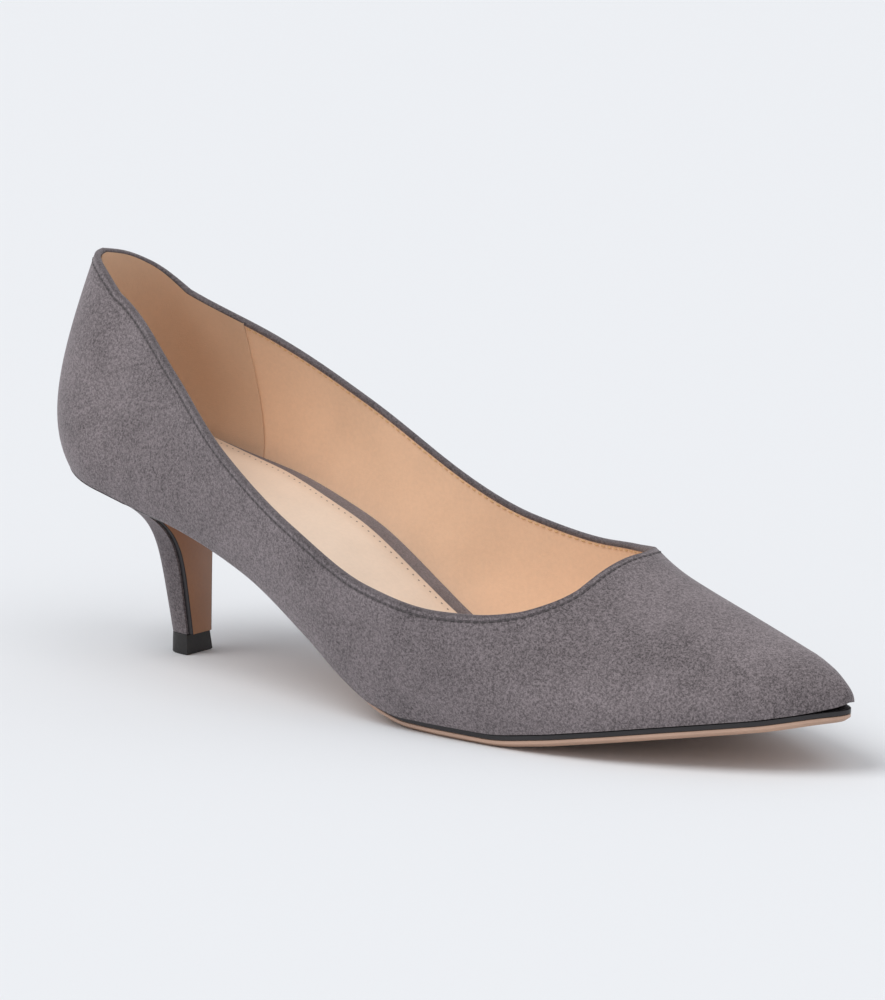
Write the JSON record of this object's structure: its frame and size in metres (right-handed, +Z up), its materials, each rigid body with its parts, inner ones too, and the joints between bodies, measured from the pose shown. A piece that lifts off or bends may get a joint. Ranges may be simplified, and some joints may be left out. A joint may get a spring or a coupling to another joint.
{
  "type": "mid heel pump",
  "caption": "Pointed slip-on pump with a low-cut collar, suede upper and a slim curved mid heel, for the right foot.",
  "frame": {"origin": "on the floor, under the middle of the shoe's box", "axes": "+X to the toe, +Y to the inner side of the foot, +Z up"},
  "size_m": [0.2714, 0.082, 0.1128],
  "materials": {
    "suede": "grey suede with a fine nap",
    "insole_suede": "grey suede, smoother",
    "sole_leather": "tan sole leather, waxed edge",
    "breast_leather": "brown sole leather, satin",
    "top_piece": "black hard rubber",
    "sock_leather": "cream smooth leather, satin"
  },
  "bodies": {
    "root": {"upper": "suede", "outsole": "sole_leather", "heel": "suede", "heel_breast": "breast_leather", "top_piece": "top_piece", "insole": "insole_suede", "sock_lining": "sock_leather"}
  },
  "joints": []
}
